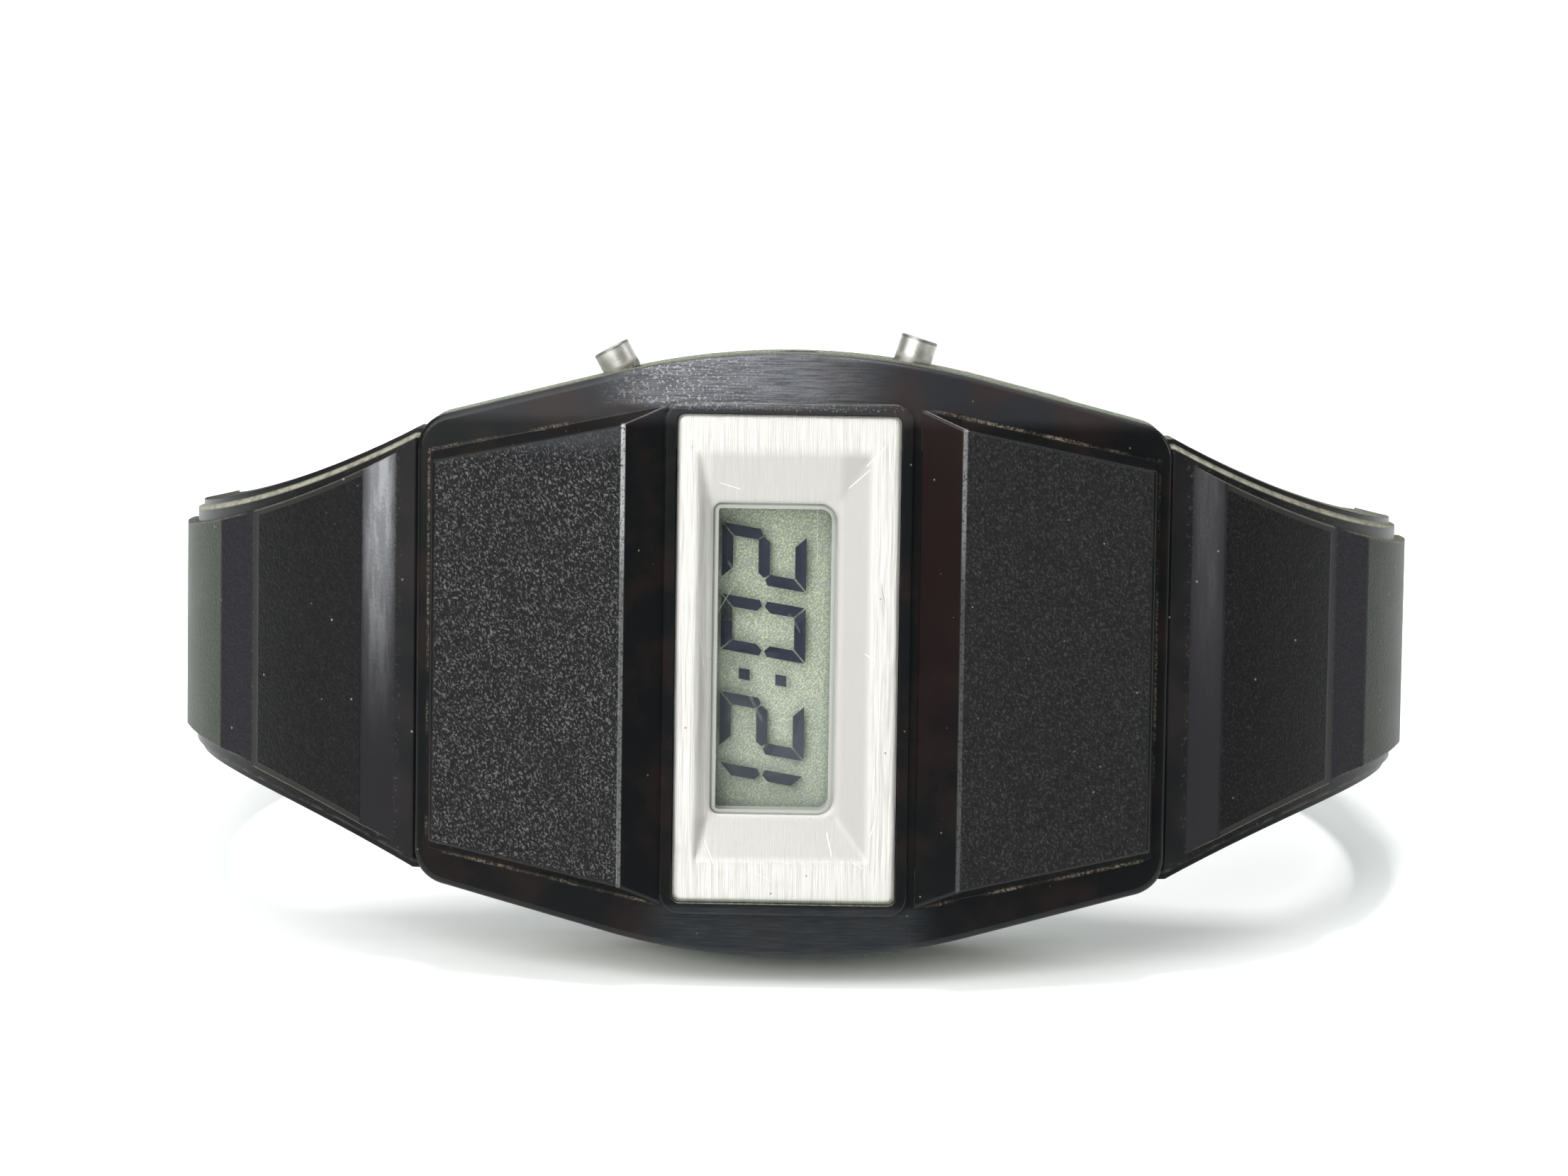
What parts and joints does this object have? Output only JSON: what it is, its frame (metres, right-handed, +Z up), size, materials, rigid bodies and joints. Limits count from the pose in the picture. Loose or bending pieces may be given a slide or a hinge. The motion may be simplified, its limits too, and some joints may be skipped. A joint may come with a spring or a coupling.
{
  "type": "digital watch",
  "caption": "Digital wristwatch with a moulded resin case, metal dial plate, LCD window, push buttons and a buckled resin strap, standing on its side",
  "frame": {"origin": "centre of the bounding box's underside, on the surface that the watch stands on", "axes": "+X runs along the strap towards the six o'clock half, -Y is the way the dial faces, +Z is up, towards the pushers; the watch leans back by 13.2 degrees"},
  "size_m": [0.0758, 0.0506, 0.0365],
  "materials": {
    "case_resin": "moulded black resin, leather-grained blocks, polished rim",
    "band_resin": "moulded black resin strap, worn greenish on its edges",
    "brushed_plate": "brushed across the dial, dished to the window",
    "clear_lens": "clear moulded pane with a bevelled rim",
    "black_rubber": "moulded seal",
    "display_glass": "thin flat glass",
    "display_film": "polarising film",
    "display_ink": "darkened liquid crystal strokes",
    "display_reflector": "granular greenish grey reflector",
    "white_moulding": "moulded tray",
    "board_green": "laminate with a green mask",
    "chip_resin": "cured black blob",
    "bright_nickel": "nickel-plated turned metal",
    "spring_steel": "drawn and rolled spring steel",
    "brass_part": "turned brass",
    "back_steel": "stainless steel, finely brushed"
  },
  "bodies": {
    "case": {"case_body": "case_resin", "face_plate": "brushed_plate", "window_lens": "clear_lens", "lens_gasket": "black_rubber", "lcd_polariser": "display_film", "lcd_front_glass": "display_glass", "lcd_segments": "display_ink", "lcd_rear_glass": "display_glass", "lcd_reflector": "display_reflector", "zebra_strips": "black_rubber", "module_frame": "white_moulding", "module_screws": "spring_steel", "circuit_board": "board_green", "timing_chip": "chip_resin", "battery": "back_steel", "battery_clip": "spring_steel", "quartz_crystal": "bright_nickel", "trimmer_capacitor": "brass_part", "micro_lamp": "display_glass", "case_back": "back_steel", "back_gasket": "black_rubber", "back_screws": "back_steel", "strap_bar_six": "spring_steel", "strap_bar_twelve": "spring_steel", "light_pusher_spring": "spring_steel", "mode_pusher_spring": "spring_steel", "set_pusher_spring": "spring_steel", "contact_leaves": "spring_steel"},
    "light_pusher": {"light_pusher": "bright_nickel", "light_pusher_seal": "black_rubber", "light_pusher_clip": "spring_steel"},
    "mode_pusher": {"mode_pusher": "bright_nickel", "mode_pusher_seal": "black_rubber", "mode_pusher_clip": "spring_steel"},
    "set_pusher": {"set_pusher": "bright_nickel", "set_pusher_seal": "black_rubber", "set_pusher_clip": "spring_steel"},
    "strap_six": {"strap_six": "band_resin"},
    "strap_twelve": {"strap_twelve": "band_resin"},
    "buckle": {"buckle_frame": "back_steel", "buckle_bar": "spring_steel"},
    "tongue": {"buckle_tongue": "back_steel"},
    "keeper": {"strap_keeper": "band_resin"}
  },
  "joints": [
    {"name": "light_pusher_press", "type": "slide", "parent": "case", "child": "light_pusher", "axis": [0.4848, -0.1992, -0.8516], "range_m": [0, 0.0007], "stiffness_N_per_m": 600, "springref_m": -0.0004, "deforming": ["light_pusher_spring"]},
    {"name": "mode_pusher_press", "type": "slide", "parent": "case", "child": "mode_pusher", "axis": [-0.3007, -0.2172, -0.9287], "range_m": [0, 0.0007], "stiffness_N_per_m": 600, "springref_m": -0.0004, "deforming": ["mode_pusher_spring"]},
    {"name": "set_pusher_press", "type": "slide", "parent": "case", "child": "set_pusher", "axis": [0, -0.2277, -0.9737], "range_m": [0, 0.0007], "stiffness_N_per_m": 600, "springref_m": -0.0004, "deforming": ["set_pusher_spring"]},
    {"name": "strap_six_hinge", "type": "hinge", "parent": "case", "child": "strap_six", "pos_m": [0.0241, -0.01644, 0.0179], "axis": [0, -0.2277, -0.9737], "range_deg": [0, 30]},
    {"name": "strap_twelve_hinge", "type": "hinge", "parent": "case", "child": "strap_twelve", "pos_m": [-0.0241, -0.01644, 0.0179], "axis": [0, 0.2277, 0.9737], "range_deg": [0, 30]},
    {"name": "buckle_hinge", "type": "hinge", "parent": "strap_twelve", "child": "buckle", "pos_m": [-0.0037, 0.0188, 0.00966], "axis": [0, 0.2277, 0.9737], "range_deg": [-15, 60]},
    {"name": "tongue_hinge", "type": "hinge", "parent": "buckle", "child": "tongue", "pos_m": [-0.0037, 0.0188, 0.00966], "axis": [0, 0.2277, 0.9737], "range_deg": [0, 40]},
    {"name": "keeper_slide", "type": "slide", "parent": "strap_twelve", "child": "keeper", "axis": [1, 0, 0], "range_m": [0, 0.0035]}
  ]
}
